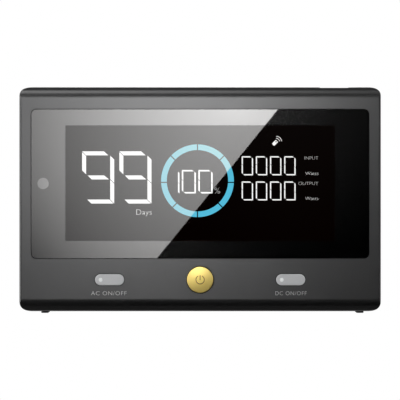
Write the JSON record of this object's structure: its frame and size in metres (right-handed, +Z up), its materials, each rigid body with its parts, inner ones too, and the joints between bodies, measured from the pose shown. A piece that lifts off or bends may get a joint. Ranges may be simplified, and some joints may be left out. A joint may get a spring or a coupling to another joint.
{
  "type": "power station remote display panel",
  "caption": "Freestanding tabletop remote display and control panel for a battery power station, with a glass-covered segment display, a round power button and two pill-shaped output buttons.",
  "frame": {"origin": "under the middle of the panel, at the level of the feet's soles, half way between the front of the power button and the back", "axes": "+X to the right as the user faces the panel, +Y from the display towards the back, +Z up"},
  "size_m": [0.165, 0.036, 0.1032],
  "materials": {
    "shell_plastic": "fine moulded grain, dark grey",
    "lens_glass": "polished",
    "border_print": "black ink behind glass",
    "sensor_tint": "smoked",
    "adhesive": "clear black film",
    "foam": "closed-cell",
    "polariser_film": "dark film",
    "display_glass": "polished",
    "white_film": "diffuse",
    "clear_acrylic": "clear",
    "lamp_body": "moulded",
    "white_plastic": "moulded",
    "circuit_board": "solder-masked glass laminate",
    "chip_plastic": "moulded",
    "ribbon_film": "polyimide",
    "steel": "zinc plated",
    "brass": "turned",
    "foot_rubber": "matte",
    "seal_rubber": "matte",
    "gold_metal": "satin, champagne gold anodised",
    "button_plastic": "smooth, light grey",
    "light_pipe": "frosted clear",
    "port_plastic": "moulded",
    "label_film": "blank satin film"
  },
  "bodies": {
    "panel": {"front_shell": "shell_plastic", "rear_shell": "shell_plastic", "case_seal": "seal_rubber", "case_inserts": "brass", "case_screws": "steel", "rating_label": "label_film", "front_feet": "foot_rubber", "back_feet": "foot_rubber", "cover_lens": "lens_glass", "lens_border_print": "border_print", "sensor_windows": "sensor_tint", "lens_tape": "adhesive", "display_gasket": "foam", "front_polariser": "polariser_film", "display_front_glass": "display_glass", "display_rear_glass": "display_glass", "rear_polariser": "polariser_film", "diffuser_sheet": "white_film", "light_guide": "clear_acrylic", "reflector_sheet": "white_film", "led_strip": "circuit_board", "strip_leds": "lamp_body", "display_frame": "white_plastic", "display_ribbon": "ribbon_film", "ribbon_connector": "white_plastic", "main_board": "circuit_board", "board_screws": "steel", "light_sensors": "chip_plastic", "sensor_light_pipes": "light_pipe", "processor_chip": "chip_plastic", "display_driver_chip": "chip_plastic", "memory_chip": "chip_plastic", "clock_crystal": "steel", "radio_board": "circuit_board", "radio_shield": "steel", "power_inductor": "chip_plastic", "regulator_chip": "chip_plastic", "capacitors": "steel", "buzzer": "chip_plastic", "small_board_parts": "chip_plastic", "port_housing": "port_plastic", "port_contact_block": "port_plastic", "port_contacts": "brass", "power_switch_body": "chip_plastic", "ac_switch_body": "chip_plastic", "dc_switch_body": "chip_plastic", "button_lamps": "lamp_body"},
    "power_button": {"power_button_cap": "gold_metal", "power_button_carrier": "white_plastic", "power_switch_plunger": "white_plastic"},
    "ac_button": {"ac_button_cap": "button_plastic", "ac_light_pipe": "light_pipe", "ac_switch_plunger": "white_plastic"},
    "dc_button": {"dc_button_cap": "button_plastic", "dc_light_pipe": "light_pipe", "dc_switch_plunger": "white_plastic"}
  },
  "joints": [
    {"name": "power_press", "type": "slide", "parent": "panel", "child": "power_button", "axis": [0, 1, 0], "range_m": [0, 0.0005], "stiffness_N_per_m": 800, "springref_m": -0.001},
    {"name": "ac_press", "type": "slide", "parent": "panel", "child": "ac_button", "axis": [0, 1, 0], "range_m": [0, 0.0005], "stiffness_N_per_m": 800, "springref_m": -0.001},
    {"name": "dc_press", "type": "slide", "parent": "panel", "child": "dc_button", "axis": [0, 1, 0], "range_m": [0, 0.0005], "stiffness_N_per_m": 800, "springref_m": -0.001}
  ]
}
